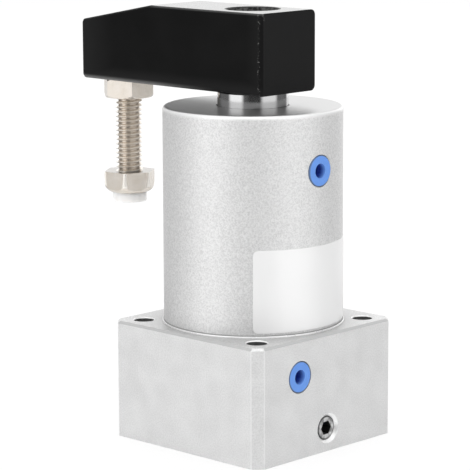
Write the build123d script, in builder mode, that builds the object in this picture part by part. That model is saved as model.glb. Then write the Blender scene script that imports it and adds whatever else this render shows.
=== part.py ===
from build123d import *
from math import cos, radians, sin
import os

os.makedirs("parts", exist_ok=True)

# Rotary clamp cylinder, millimetres. The origin is the centre of the square base's bottom face, +Z runs
# up the rod, both air ports face -Y, and the arm points along +Y. The clamp stands retracted.

# Clearances
running_clearance = 0.05
seat_clearance = 0.02
end_play = 0.1
stop_gap = 0.2
thread_clearance = 0.03

# Motion: the rod rises by the stroke while the helical tracks turn it by the swing
stroke = 24.0
swing_angle = 90.0

# Bore and barrel walls, from which the base's side follows
bore_diameter = 25.0
barrel_wall = 6.2
barrel_edge_radius = 0.8
spigot_wall = 4.0
spigot_length = 5.2
head_thickness = 9.9
head_lip = 0.8
lip_clearance = 0.15
gland_wall = 2.0

# Square base
base_margin = 2.3
base_height = 24.75
base_corner_chamfer = 1.9
base_edge_chamfer = 0.5
foot_ring_width = 0.35
foot_ring_height = 0.35
foot_ring_edge_radius = 0.2
floor_thickness = 5.0
mounting_edge_distance = 4.8
mounting_hole_diameter = 4.2
hole_chamfer = 0.25

# Air ports and their plugs
port_thread_diameter = 5.0
port_thread_depth = 4.6
port_seat_diameter = 6.7
port_seat_depth = 0.8
port_passage_diameter = 2.5
lower_port_offset = -8.55
lower_port_rise = 3.1
upper_port_setback = 2.0
plug_stem_length = 3.6
plug_flange_gap = 0.15
plug_edge_radius = 0.2
plug_socket_diameter = 3.1
plug_socket_depth = 2.6
plug_wall_clearance = 0.1

# Piston set
piston_height = 12.0
piston_crown_height = 3.8
crown_gap = 1.7
upper_bumper_height = 1.8
upper_bumper_width = 1.5
seal_groove_depth = 1.9
seal_groove_height = 2.4
seal_edge_distance = 1.5
wear_ring_height = 2.6

# Piston rod and its balls
rod_diameter = 14.8
rod_edge_chamfer = 0.3
arm_shoulder_width = 3.0
arm_spigot_flat_depth = 0.6
arm_spigot_recess = 0.6
cavity_end_gap = 1.5
ball_diameter = 3.0
ball_angle = 45.0
ball_clearance = 0.1
track_overrun = 2.0
ball_collar_height = 4.9
ball_collar_wall = 2.5
neck_seal_section = 1.4

# Guide shaft in the base
shaft_diameter = 8.0
shaft_overrun = 12.0
shaft_end_chamfer = 0.4
shaft_foot_diameter = 16.0
shaft_foot_height = 7.5
shaft_seal_section = 1.8
shaft_seal_recess_width = 1.9
retaining_ring_thickness = 0.9
retaining_ring_inset = 0.55
retaining_groove_depth = 0.6
retaining_ring_width = 1.9
retaining_lug_pitch = 5.0
retaining_lug_diameter = 3.0
retaining_lug_hole_diameter = 1.3
set_screw_diameter = 5.0
set_screw_rise = 3.3
set_screw_recess = 0.5
set_screw_socket_flats = 2.7
set_screw_socket_depth = 3.5
set_screw_edge_chamfer = 0.25
set_screw_tip_chamfer = 0.9
set_screw_mouth_chamfer = 0.65
lower_bumper_height = 1.6
lower_bumper_proud = 0.8
lower_bumper_width = 2.0
lower_bumper_clearance = 1.2

# Static seal between base and barrel
body_seal_section = 1.5
body_seal_groove_height = 1.9
body_seal_groove_drop = 2.6

# Rod guide and wiper in the head; the rod's seal fills what is left between them
wiper_height = 1.4
bush_height = 4.0
gland_ring_height = 1.0
gland_ring_depth = 0.6

# Clamp arm
arm_gap = 3.1
arm_height = 16.7
arm_width = 16.2
arm_rear = 9.9
arm_reach = 43.0
arm_slope_length = 21.2
arm_tip_drop = 4.1
arm_tip_radius = 1.0
arm_side_radius = 1.2
arm_corner_chamfer = 0.7
arm_lower_chamfer = 0.35
arm_screw_bore_diameter = 11.1
arm_screw_bore_chamfer = 0.25
arm_web = 8.6
key_clearance = 0.03

# Screw and washer that hold the arm on the rod
arm_screw_diameter = 5.0
arm_screw_length = 16.0
arm_screw_head_diameter = 8.5
arm_screw_head_height = 5.0
arm_screw_socket_flats = 4.0
arm_screw_socket_depth = 2.5
arm_screw_head_chamfer = 0.4
arm_washer_gap = 0.2
arm_washer_height = 1.2
tap_depth_reserve = 2.0

# Clamping bolt, lock nut and pad
bolt_tip_distance = 6.0
bolt_drop = 20.6
bolt_diameter = 6.0
bolt_length = 30.0
bolt_flats = 10.0
bolt_head_height = 4.6
bolt_head_dome_height = 2.6
bolt_head_dome_diameter = 7.8
bolt_head_turn = 35.0
bolt_end_chamfer = 0.6
nut_height = 4.4
nut_turn = -6.8
nut_chamfer_height = 0.7
pad_diameter = 7.4
pad_height = 2.1
pad_stem_diameter = 3.6
pad_stem_length = 2.4
pad_edge_radius = 0.3

# Plain label on the barrel
label_height = 17.0
label_rise = 0.6
label_thickness = 0.12
label_start_angle = -137.0
label_arc = 136.0
label_corner_radius = 1.1

# Widths and radii that follow from the sizes above
bore_radius = bore_diameter / 2
barrel_radius = bore_radius + barrel_wall
base_side = 2 * (barrel_radius + base_margin)
mounting_pitch = base_side - 2 * mounting_edge_distance
spigot_radius = bore_radius + spigot_wall
rod_radius = rod_diameter / 2
gland_radius = rod_radius + gland_wall
shaft_radius = shaft_diameter / 2
neck_radius = shaft_radius + ball_diameter / 2
crown_radius = bore_radius - crown_gap
arm_spigot_radius = rod_radius - arm_shoulder_width
arm_spigot_half_flats = arm_spigot_radius - arm_spigot_flat_depth
bolt_reach = arm_reach - bolt_tip_distance

# Heights that follow, from the base's bottom face up
shaft_foot_bottom = retaining_ring_inset + retaining_ring_thickness + running_clearance
shaft_foot_top = shaft_foot_bottom + shaft_foot_height
set_screw_height = shaft_foot_bottom + set_screw_rise
chamber_floor = shaft_foot_top + floor_thickness
barrel_foot = base_height + foot_ring_height
spigot_bottom = barrel_foot - spigot_length
collar_bottom = chamber_floor + lower_bumper_proud + stop_gap
collar_top = collar_bottom + ball_collar_height
ball_height = (collar_bottom + collar_top) / 2
piston_bottom = collar_top + end_play
piston_top = piston_bottom + piston_height
rod_shoulder = piston_top + end_play
crown_top = piston_top + piston_crown_height
bore_top = crown_top + stop_gap + stroke
barrel_top = bore_top + head_thickness
gland_top = barrel_top - head_lip
shaft_top = ball_height + stroke + shaft_overrun
cavity_top = shaft_top + cavity_end_gap
lower_port_height = chamber_floor + lower_port_rise
upper_port_height = bore_top - upper_port_setback
arm_bottom = barrel_top + arm_gap
arm_top = arm_bottom + arm_height
arm_web_top = arm_bottom + arm_web
arm_spigot_top = arm_web_top - arm_spigot_recess
washer_top = arm_web_top + arm_washer_height
bolt_head_top = arm_bottom - bolt_drop


# Base block: square with cut corners, a low ring that carries the barrel, and the lower air chamber
with BuildPart() as base_block:
    with BuildSketch(Plane.XY) as base_outline:
        Rectangle(base_side, base_side)
        chamfer(base_outline.vertices(), base_corner_chamfer)
    extrude(amount=base_height)
    chamfer(base_block.faces().sort_by(Axis.Z)[-1].edges(), base_edge_chamfer)
    with BuildSketch(Plane.XY.offset(base_height)):
        Circle(barrel_radius + foot_ring_width)
    extrude(amount=foot_ring_height)
    fillet(base_block.edges().filter_by(GeomType.CIRCLE).sort_by(Axis.Z)[-1], foot_ring_edge_radius)

    # seat of the barrel's spigot and the chamber below the piston
    with BuildSketch(Plane.XY.offset(barrel_foot)):
        Circle(spigot_radius + seat_clearance)
    extrude(amount=-(spigot_length + end_play), mode=Mode.SUBTRACT)
    with BuildSketch(Plane.XY.offset(barrel_foot)):
        Circle(bore_radius)
    extrude(amount=-(barrel_foot - chamber_floor), mode=Mode.SUBTRACT)

    # annular seat of the lower bumper
    with BuildSketch(Plane.XY.offset(chamber_floor)):
        Circle(shaft_radius + lower_bumper_clearance + lower_bumper_width + seat_clearance)
        Circle(shaft_radius + lower_bumper_clearance - seat_clearance, mode=Mode.SUBTRACT)
    extrude(amount=-(lower_bumper_height - lower_bumper_proud), mode=Mode.SUBTRACT)

    # seat of the guide shaft's foot, its seal, and the groove of the retaining ring
    with BuildSketch(Plane.XY):
        Circle(shaft_foot_diameter / 2 + seat_clearance)
    extrude(amount=shaft_foot_top, mode=Mode.SUBTRACT)
    with BuildSketch(Plane.XY):
        Circle(shaft_radius + seat_clearance)
    extrude(amount=chamber_floor, mode=Mode.SUBTRACT)
    with BuildSketch(Plane.XY.offset(shaft_foot_top)):
        Circle(shaft_radius + seat_clearance + shaft_seal_recess_width)
    extrude(amount=shaft_seal_section, mode=Mode.SUBTRACT)
    with BuildSketch(Plane.XY.offset(retaining_ring_inset - running_clearance)):
        Circle(shaft_foot_diameter / 2 + retaining_groove_depth)
    extrude(amount=retaining_ring_thickness + 2 * running_clearance, mode=Mode.SUBTRACT)

    # through holes at the four corners
    with BuildSketch(Plane.XY):
        with GridLocations(mounting_pitch, mounting_pitch, 2, 2):
            Circle(mounting_hole_diameter / 2)
    extrude(amount=base_height, mode=Mode.SUBTRACT)
    mounting_rims = (
        base_block.edges()
        .filter_by(GeomType.CIRCLE)
        .filter_by(lambda rim: abs(rim.radius - mounting_hole_diameter / 2) < seat_clearance)
    )
    chamfer(mounting_rims, hole_chamfer)

    # lower air port
    with BuildSketch(Plane.XZ.offset(base_side / 2)):
        with Locations((lower_port_offset, lower_port_height)):
            Circle(port_seat_diameter / 2)
    extrude(amount=-port_seat_depth, mode=Mode.SUBTRACT)
    with BuildSketch(Plane.XZ.offset(base_side / 2)):
        with Locations((lower_port_offset, lower_port_height)):
            Circle(port_thread_diameter / 2)
    extrude(amount=-(port_seat_depth + port_thread_depth), mode=Mode.SUBTRACT)
    with BuildSketch(Plane.XZ.offset(base_side / 2)):
        with Locations((lower_port_offset, lower_port_height)):
            Circle(port_passage_diameter / 2)
    extrude(amount=-base_side / 2, mode=Mode.SUBTRACT)

    # tapped hole of the set screw
    with BuildSketch(Plane.XZ.offset(base_side / 2)):
        with Locations((0, set_screw_height)):
            Circle(set_screw_diameter / 2 + thread_clearance)
    extrude(amount=-base_side / 2, mode=Mode.SUBTRACT)
    set_screw_mouth = base_block.edges().filter_by(GeomType.CIRCLE).group_by(Axis.Y)[0].sort_by(Axis.Z)[0]
    chamfer(set_screw_mouth, set_screw_mouth_chamfer)
base_block.part.label = "base_block"
export_step(base_block.part, "parts/base_block.step")

# Barrel: cylinder with a closed head, a spigot that seats in the base, and the upper air port
with BuildPart() as barrel:
    with BuildSketch(Plane.XY.offset(barrel_foot)):
        Circle(barrel_radius)
    extrude(amount=barrel_top - barrel_foot)
    fillet(barrel.edges().sort_by(Axis.Z)[-1], barrel_edge_radius)
    with BuildSketch(Plane.XY.offset(barrel_foot)):
        Circle(spigot_radius)
    extrude(amount=-spigot_length)
    with BuildSketch(Plane.XY.offset(spigot_bottom)):
        Circle(bore_radius)
    extrude(amount=bore_top - spigot_bottom, mode=Mode.SUBTRACT)
    with BuildSketch(Plane.XY.offset(bore_top)):
        Circle(gland_radius)
    extrude(amount=gland_top - bore_top, mode=Mode.SUBTRACT)
    with BuildSketch(Plane.XY.offset(gland_top)):
        Circle(rod_radius + lip_clearance)
    extrude(amount=head_lip, mode=Mode.SUBTRACT)

    # groove of the ring that holds the rod guide
    with BuildSketch(Plane.XY.offset(bore_top + end_play)):
        Circle(gland_radius + gland_ring_depth)
    extrude(amount=gland_ring_height + 2 * running_clearance, mode=Mode.SUBTRACT)

    # groove of the static seal around the spigot
    with BuildSketch(Plane.XY.offset(barrel_foot - body_seal_groove_drop)):
        Circle(spigot_radius)
        Circle(spigot_radius - body_seal_section, mode=Mode.SUBTRACT)
    extrude(amount=-body_seal_groove_height, mode=Mode.SUBTRACT)

    # upper air port
    with BuildSketch(Plane.XZ.offset(barrel_radius)):
        with Locations((0, upper_port_height)):
            Circle(port_seat_diameter / 2)
    extrude(amount=-port_seat_depth, mode=Mode.SUBTRACT)
    with BuildSketch(Plane.XZ.offset(barrel_radius)):
        with Locations((0, upper_port_height)):
            Circle(port_thread_diameter / 2)
    extrude(amount=-(port_seat_depth + port_thread_depth), mode=Mode.SUBTRACT)
    with BuildSketch(Plane.XZ.offset(barrel_radius)):
        with Locations((0, upper_port_height)):
            Circle(port_passage_diameter / 2)
    extrude(amount=-barrel_radius, mode=Mode.SUBTRACT)
barrel.part.label = "barrel"
export_step(barrel.part, "parts/barrel.step")

# Static seal between the spigot and the base
with BuildPart() as body_seal:
    with BuildSketch(Plane.XZ):
        with Locations((spigot_radius - body_seal_section / 2,
                        barrel_foot - body_seal_groove_drop - body_seal_groove_height / 2)):
            Circle(body_seal_section / 2 - seat_clearance)
    revolve(axis=Axis.Z)
body_seal.part.label = "body_seal"
export_step(body_seal.part, "parts/body_seal.step")

# Cutter for one ball track: a tube along a left-hand helix, a little longer than the balls' way
track_radius = ball_diameter / 2 + ball_clearance
track_start_angle = ball_angle + track_overrun * swing_angle / stroke
with BuildPart() as track_tube:
    with BuildLine() as track_path:
        Helix(
            pitch=stroke * 360 / swing_angle,
            height=stroke + 2 * track_overrun,
            radius=shaft_radius,
            center=(0, 0, ball_height - track_overrun),
            lefthand=True,
        )
    with BuildSketch(Plane(origin=track_path.line @ 0, z_dir=track_path.line % 0)):
        Circle(track_radius)
    sweep(path=track_path.line, is_frenet=True)

# Guide shaft: fixed in the base, with two ball tracks that turn the rod as it rises
with BuildPart() as guide_shaft:
    with BuildSketch(Plane.XY.offset(shaft_foot_bottom)):
        Circle(shaft_foot_diameter / 2)
    extrude(amount=shaft_foot_top - shaft_foot_bottom)
    with BuildSketch(Plane.XY.offset(shaft_foot_top)):
        Circle(shaft_radius)
    extrude(amount=shaft_top - shaft_foot_top)
    chamfer(guide_shaft.edges().sort_by(Axis.Z)[-1], shaft_end_chamfer)
    with PolarLocations(0, 2, start_angle=track_start_angle):
        add(track_tube.part, mode=Mode.SUBTRACT)
guide_shaft.part.label = "guide_shaft"
export_step(guide_shaft.part, "parts/guide_shaft.step")

# Seal ring around the guide shaft, under the chamber floor
with BuildPart() as shaft_seal:
    with BuildSketch(Plane.XZ):
        with Locations((shaft_radius + seat_clearance + shaft_seal_section / 2,
                        shaft_foot_top + shaft_seal_section / 2)):
            Circle(shaft_seal_section / 2 - seat_clearance)
    revolve(axis=Axis.Z)
shaft_seal.part.label = "shaft_seal"
export_step(shaft_seal.part, "parts/shaft_seal.step")

# Retaining ring under the guide shaft's foot: open at the back, with a pierced lug at each end
retaining_ring_radius = shaft_foot_diameter / 2 + retaining_groove_depth - running_clearance
lug_height = retaining_ring_radius - retaining_ring_width - retaining_lug_diameter / 4
with BuildPart() as retaining_ring:
    with BuildSketch(Plane.XY.offset(retaining_ring_inset)):
        Circle(retaining_ring_radius)
        Circle(retaining_ring_radius - retaining_ring_width, mode=Mode.SUBTRACT)
        with Locations((0, retaining_ring_radius)):
            Rectangle(retaining_lug_pitch, 2 * retaining_ring_radius, mode=Mode.SUBTRACT)
        with Locations((-retaining_lug_pitch / 2, lug_height), (retaining_lug_pitch / 2, lug_height)):
            Circle(retaining_lug_diameter / 2)
        with Locations((-retaining_lug_pitch / 2, lug_height), (retaining_lug_pitch / 2, lug_height)):
            Circle(retaining_lug_hole_diameter / 2, mode=Mode.SUBTRACT)
    extrude(amount=retaining_ring_thickness)
retaining_ring.part.label = "retaining_ring"
export_step(retaining_ring.part, "parts/retaining_ring.step")

# Set screw that locks the guide shaft's foot
set_screw_face = -(base_side / 2 - set_screw_recess)
set_screw_tip = -(shaft_foot_diameter / 2 + running_clearance)
with BuildPart() as set_screw:
    with BuildSketch(Plane.XZ.offset(-set_screw_face)):
        with Locations((0, set_screw_height)):
            Circle(set_screw_diameter / 2)
    extrude(amount=-(set_screw_tip - set_screw_face))
    chamfer(set_screw.edges().sort_by(Axis.Y)[0], set_screw_edge_chamfer)
    chamfer(set_screw.edges().sort_by(Axis.Y)[-1], set_screw_tip_chamfer)
    with BuildSketch(Plane.XZ.offset(-set_screw_face)):
        with Locations((0, set_screw_height)):
            RegularPolygon(set_screw_socket_flats / 2, 6, major_radius=False)
    extrude(amount=-set_screw_socket_depth, mode=Mode.SUBTRACT)
set_screw.part.label = "set_screw"
export_step(set_screw.part, "parts/set_screw.step")

# Bumper ring on the chamber floor, where the rod's collar stops
with BuildPart() as lower_bumper:
    with BuildSketch(Plane.XY.offset(chamber_floor - lower_bumper_height + lower_bumper_proud)):
        Circle(shaft_radius + lower_bumper_clearance + lower_bumper_width)
        Circle(shaft_radius + lower_bumper_clearance, mode=Mode.SUBTRACT)
    extrude(amount=lower_bumper_height)
lower_bumper.part.label = "lower_bumper"
export_step(lower_bumper.part, "parts/lower_bumper.step")

# Gland stack in the head: ring, bush, rod seal and wiper
gland_ring_bottom = bore_top + end_play + running_clearance
bush_bottom = gland_ring_bottom + gland_ring_height + running_clearance
rod_seal_bottom = bush_bottom + bush_height + seat_clearance
wiper_bottom = gland_top - seat_clearance - wiper_height
with BuildPart() as gland_ring:
    with BuildSketch(Plane.XY.offset(gland_ring_bottom)):
        Circle(gland_radius + gland_ring_depth - running_clearance)
        Circle(rod_radius + end_play, mode=Mode.SUBTRACT)
    extrude(amount=gland_ring_height)
gland_ring.part.label = "gland_ring"
export_step(gland_ring.part, "parts/gland_ring.step")

with BuildPart() as rod_bush:
    with BuildSketch(Plane.XY.offset(bush_bottom)):
        Circle(gland_radius - seat_clearance)
        Circle(rod_radius + running_clearance, mode=Mode.SUBTRACT)
    extrude(amount=bush_height)
rod_bush.part.label = "rod_bush"
export_step(rod_bush.part, "parts/rod_bush.step")

with BuildPart() as rod_seal:
    with BuildSketch(Plane.XY.offset(rod_seal_bottom)):
        Circle(gland_radius - seat_clearance)
        Circle(rod_radius + running_clearance, mode=Mode.SUBTRACT)
    extrude(amount=wiper_bottom - seat_clearance - rod_seal_bottom)
rod_seal.part.label = "rod_seal"
export_step(rod_seal.part, "parts/rod_seal.step")

with BuildPart() as rod_wiper:
    with BuildSketch(Plane.XY.offset(wiper_bottom)):
        Circle(gland_radius - seat_clearance)
        Circle(rod_radius + running_clearance, mode=Mode.SUBTRACT)
    extrude(amount=wiper_height)
rod_wiper.part.label = "rod_wiper"
export_step(rod_wiper.part, "parts/rod_wiper.step")

# Air port plugs: a flange sunk in the port's seat, a stem in the thread, and a blind socket
port_faces = {
    "port_plug_lower": (base_side / 2, lower_port_offset, lower_port_height),
    "port_plug_upper": (barrel_radius, 0, upper_port_height),
}
for plug_name, (face_distance, plug_x, plug_z) in port_faces.items():
    seat_plane = Plane.XZ.offset(face_distance - port_seat_depth + seat_clearance)
    with BuildPart() as port_plug:
        with BuildSketch(seat_plane):
            with Locations((plug_x, plug_z)):
                Circle(port_seat_diameter / 2 - plug_flange_gap)
        extrude(amount=port_seat_depth)
        fillet(port_plug.edges().sort_by(Axis.Y)[0], plug_edge_radius)
        with BuildSketch(seat_plane):
            with Locations((plug_x, plug_z)):
                Circle(port_thread_diameter / 2 - plug_wall_clearance)
        extrude(amount=-plug_stem_length)
        with BuildSketch(seat_plane.offset(port_seat_depth)):
            with Locations((plug_x, plug_z)):
                Circle(plug_socket_diameter / 2)
        extrude(amount=-plug_socket_depth, mode=Mode.SUBTRACT)
    port_plug.part.label = plug_name
    export_step(port_plug.part, f"parts/{plug_name}.step")

# Plain label wrapped around the barrel, with rounded corners
label_inner = barrel_radius + seat_clearance / 2
label_direction = (cos(radians(label_start_angle)), sin(radians(label_start_angle)), 0)
label_normal = (sin(radians(label_start_angle)), -cos(radians(label_start_angle)), 0)
with BuildPart() as label:
    with BuildSketch(Plane(origin=(0, 0, 0), x_dir=label_direction, z_dir=label_normal)):
        with Locations((label_inner, barrel_foot + label_rise)):
            Rectangle(label_thickness, label_height, align=(Align.MIN, Align.MIN))
    revolve(axis=Axis.Z, revolution_arc=label_arc)
    fillet(label.edges().group_by(SortBy.LENGTH)[0], label_corner_radius)
label.part.label = "label"
export_step(label.part, "parts/label.step")

# Piston: a ring that slides straight in the bore, held on the rod's neck, with a crown that stops it
piston_radius = bore_radius - running_clearance
seal_levels = (
    piston_bottom + seal_edge_distance,
    piston_top - seal_edge_distance - seal_groove_height,
)
wear_ring_bottom = (piston_bottom + piston_top - wear_ring_height) / 2
neck_seal_height = (piston_bottom + piston_top) / 2
with BuildPart() as piston:
    with BuildSketch(Plane.XY.offset(piston_bottom)):
        Circle(piston_radius)
        Circle(neck_radius + running_clearance, mode=Mode.SUBTRACT)
    extrude(amount=piston_height)
    with BuildSketch(Plane.XY.offset(piston_top)):
        Circle(crown_radius)
        Circle(rod_radius + running_clearance, mode=Mode.SUBTRACT)
    extrude(amount=piston_crown_height - upper_bumper_height)
    for groove_bottom, groove_height in (
        (seal_levels[0], seal_groove_height),
        (seal_levels[1], seal_groove_height),
        (wear_ring_bottom, wear_ring_height),
    ):
        with BuildSketch(Plane.XY.offset(groove_bottom)):
            Circle(piston_radius)
            Circle(piston_radius - seal_groove_depth, mode=Mode.SUBTRACT)
        extrude(amount=groove_height, mode=Mode.SUBTRACT)
    with BuildSketch(Plane.XY.offset(neck_seal_height - neck_seal_section / 2)):
        Circle(neck_radius + running_clearance + neck_seal_section)
        Circle(neck_radius + running_clearance, mode=Mode.SUBTRACT)
    extrude(amount=neck_seal_section, mode=Mode.SUBTRACT)
piston.part.label = "piston"
export_step(piston.part, "parts/piston.step")

# Two seal rings in the piston's outer grooves
with BuildPart() as piston_seals:
    for seal_bottom in seal_levels:
        with BuildSketch(Plane.XY.offset(seal_bottom + seat_clearance)):
            Circle(piston_radius)
            Circle(piston_radius - seal_groove_depth + seat_clearance, mode=Mode.SUBTRACT)
        extrude(amount=seal_groove_height - 2 * seat_clearance)
piston_seals.part.label = "piston_seals"
export_step(piston_seals.part, "parts/piston_seals.step")

# Guide band between the seals
with BuildPart() as wear_ring:
    with BuildSketch(Plane.XY.offset(wear_ring_bottom + seat_clearance)):
        Circle(piston_radius)
        Circle(piston_radius - seal_groove_depth + seat_clearance, mode=Mode.SUBTRACT)
    extrude(amount=wear_ring_height - 2 * seat_clearance)
wear_ring.part.label = "wear_ring"
export_step(wear_ring.part, "parts/wear_ring.step")

# Seal ring between piston and neck
with BuildPart() as neck_seal:
    with BuildSketch(Plane.XZ):
        with Locations((neck_radius + running_clearance + neck_seal_section / 2, neck_seal_height)):
            Circle(neck_seal_section / 2 - seat_clearance)
    revolve(axis=Axis.Z)
neck_seal.part.label = "neck_seal"
export_step(neck_seal.part, "parts/neck_seal.step")

# Bumper ring on the crown, which meets the head at full stroke
with BuildPart() as upper_bumper:
    with BuildSketch(Plane.XY.offset(crown_top - upper_bumper_height)):
        Circle(crown_radius)
        Circle(crown_radius - upper_bumper_width, mode=Mode.SUBTRACT)
    extrude(amount=upper_bumper_height)
upper_bumper.part.label = "upper_bumper"
export_step(upper_bumper.part, "parts/upper_bumper.step")

# Piston rod: neck for the piston, body, and a flatted spigot for the arm; hollow for the guide shaft
with BuildPart() as piston_rod:
    with BuildSketch(Plane.XY.offset(collar_bottom)):
        Circle(neck_radius)
    extrude(amount=rod_shoulder - collar_bottom)
    with BuildSketch(Plane.XY.offset(rod_shoulder)):
        Circle(rod_radius)
    extrude(amount=arm_bottom - rod_shoulder)
    chamfer(piston_rod.edges().sort_by(Axis.Z)[-1], rod_edge_chamfer)
    with BuildSketch(Plane.XY.offset(arm_bottom)):
        Circle(arm_spigot_radius)
        Rectangle(2 * arm_spigot_half_flats, 2 * arm_spigot_radius, mode=Mode.INTERSECT)
    extrude(amount=arm_spigot_top - arm_bottom)
    with BuildSketch(Plane.XY.offset(collar_bottom)):
        Circle(shaft_radius + running_clearance)
    extrude(amount=cavity_top - collar_bottom, mode=Mode.SUBTRACT)
    with BuildSketch(Plane.XY.offset(arm_spigot_top)):
        Circle(arm_screw_diameter / 2 + thread_clearance)
    extrude(
        amount=-(arm_screw_length + tap_depth_reserve - (washer_top - arm_spigot_top)),
        mode=Mode.SUBTRACT,
    )
    ball_direction = (cos(radians(ball_angle)), sin(radians(ball_angle)), 0)
    with BuildSketch(Plane(origin=(0, 0, ball_height), x_dir=(0, 0, 1), z_dir=ball_direction)):
        Circle(ball_diameter / 2 + running_clearance)
    extrude(amount=rod_radius, both=True, mode=Mode.SUBTRACT)
piston_rod.part.label = "piston_rod"
export_step(piston_rod.part, "parts/piston_rod.step")

# Collar under the piston, which carries it and keeps the balls in the neck
with BuildPart() as ball_collar:
    with BuildSketch(Plane.XY.offset(collar_bottom)):
        Circle(neck_radius + ball_collar_wall)
        Circle(neck_radius + seat_clearance, mode=Mode.SUBTRACT)
    extrude(amount=ball_collar_height)
ball_collar.part.label = "ball_collar"
export_step(ball_collar.part, "parts/ball_collar.step")

# Two balls that run in the shaft's tracks
with BuildPart() as guide_balls:
    with Locations(Plane.XY.offset(ball_height)):
        with PolarLocations(shaft_radius, 2, start_angle=ball_angle):
            Sphere(ball_diameter / 2)
guide_balls.part.label = "guide_balls"
export_step(guide_balls.part, "parts/guide_balls.step")

# Clamp arm: a bar whose top slopes down to the tip, keyed on the rod's spigot
with BuildPart() as clamp_arm:
    with BuildSketch(Plane.YZ.offset(-arm_width / 2)):
        with BuildLine():
            Polyline(
                (-arm_rear, arm_bottom),
                (arm_reach, arm_bottom),
                (arm_reach, arm_top - arm_tip_drop),
                (arm_reach - arm_slope_length, arm_top),
                (-arm_rear, arm_top),
                close=True,
            )
        make_face()
    extrude(amount=arm_width)
    chamfer(clamp_arm.edges().filter_by(Axis.Z).group_by(Axis.Y)[0].sort_by(Axis.X)[0], arm_corner_chamfer)
    far_side = clamp_arm.faces().sort_by(Axis.X)[-1]
    fillet(far_side.edges().filter_by(Axis.Y), arm_side_radius)
    tip_edges = clamp_arm.faces().sort_by(Axis.Y)[-1].edges().filter_by(Axis.X)
    fillet(tip_edges, arm_tip_radius)
    near_side = clamp_arm.faces().sort_by(Axis.X)[0]
    chamfer(near_side.edges().filter_by(Axis.Y).sort_by(Axis.Z)[0], arm_lower_chamfer)

    # counterbore for the arm's screw and flatted hole for the rod's spigot
    with BuildSketch(Plane.XY.offset(arm_top)):
        Circle(arm_screw_bore_diameter / 2)
    extrude(amount=-(arm_top - arm_web_top), mode=Mode.SUBTRACT)
    screw_bore_rim = clamp_arm.edges().filter_by(GeomType.CIRCLE).sort_by(Axis.Z)[-1]
    chamfer(screw_bore_rim, arm_screw_bore_chamfer)
    with BuildSketch(Plane.XY.offset(arm_bottom)):
        Circle(arm_spigot_radius + key_clearance)
        Rectangle(
            2 * (arm_spigot_half_flats + key_clearance),
            2 * (arm_spigot_radius + key_clearance),
            mode=Mode.INTERSECT,
        )
    extrude(amount=arm_web, mode=Mode.SUBTRACT)

    # tapped hole of the clamping bolt, right through the tip
    with BuildSketch(Plane.XY.offset(arm_bottom)):
        with Locations((0, bolt_reach)):
            Circle(bolt_diameter / 2 + thread_clearance)
    extrude(amount=arm_height, mode=Mode.SUBTRACT)
clamp_arm.part.label = "clamp_arm"
export_step(clamp_arm.part, "parts/clamp_arm.step")

# Washer and socket head screw that pull the arm down on the rod's shoulder
with BuildPart() as arm_washer:
    with BuildSketch(Plane.XY.offset(arm_web_top)):
        Circle(arm_screw_bore_diameter / 2 - arm_washer_gap)
        Circle(arm_screw_diameter / 2 + running_clearance, mode=Mode.SUBTRACT)
    extrude(amount=arm_washer_height)
arm_washer.part.label = "arm_washer"
export_step(arm_washer.part, "parts/arm_washer.step")

with BuildPart() as arm_screw:
    with BuildSketch(Plane.XY.offset(washer_top)):
        Circle(arm_screw_head_diameter / 2)
    extrude(amount=arm_screw_head_height)
    chamfer(arm_screw.edges().sort_by(Axis.Z)[-1], arm_screw_head_chamfer)
    with BuildSketch(Plane.XY.offset(washer_top)):
        Circle(arm_screw_diameter / 2)
    extrude(amount=-arm_screw_length)
    with BuildSketch(Plane.XY.offset(washer_top + arm_screw_head_height)):
        RegularPolygon(arm_screw_socket_flats / 2, 6, major_radius=False)
    extrude(amount=-arm_screw_socket_depth, mode=Mode.SUBTRACT)
arm_screw.part.label = "arm_screw"
export_step(arm_screw.part, "parts/arm_screw.step")

# Clamping bolt, head down: a hexagon whose lower corners are domed, and a socket for the pad's stem
bolt_head_bottom = bolt_head_top - bolt_head_height
hexagon_corner_radius = bolt_flats / 2 / cos(radians(30))
with BuildPart() as clamp_bolt:
    with BuildSketch(Plane.XY.offset(bolt_head_bottom)):
        with Locations((0, bolt_reach)):
            RegularPolygon(bolt_flats / 2, 6, major_radius=False, rotation=bolt_head_turn)
    extrude(amount=bolt_head_height)
    with BuildSketch(Plane.YZ):
        with BuildLine():
            Polyline(
                (bolt_reach, bolt_head_bottom),
                (bolt_reach, bolt_head_top),
                (bolt_reach + hexagon_corner_radius, bolt_head_top),
                (bolt_reach + hexagon_corner_radius, bolt_head_bottom + bolt_head_dome_height),
            )
            TangentArc(
                (bolt_reach + hexagon_corner_radius, bolt_head_bottom + bolt_head_dome_height),
                (bolt_reach + bolt_head_dome_diameter / 2, bolt_head_bottom),
                tangent=(0, -1),
            )
            Line(
                (bolt_reach + bolt_head_dome_diameter / 2, bolt_head_bottom),
                (bolt_reach, bolt_head_bottom),
            )
        make_face()
    revolve(axis=Axis((0, bolt_reach, 0), (0, 0, 1)), mode=Mode.INTERSECT)
    with BuildSketch(Plane.XY.offset(bolt_head_top)):
        with Locations((0, bolt_reach)):
            Circle(bolt_diameter / 2)
    extrude(amount=bolt_length)
    chamfer(clamp_bolt.edges().sort_by(Axis.Z)[-1], bolt_end_chamfer)
    with BuildSketch(Plane.XY.offset(bolt_head_bottom)):
        with Locations((0, bolt_reach)):
            Circle(pad_stem_diameter / 2 + seat_clearance)
    extrude(amount=pad_stem_length + seat_clearance, mode=Mode.SUBTRACT)
clamp_bolt.part.label = "clamp_bolt"
export_step(clamp_bolt.part, "parts/clamp_bolt.step")

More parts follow.
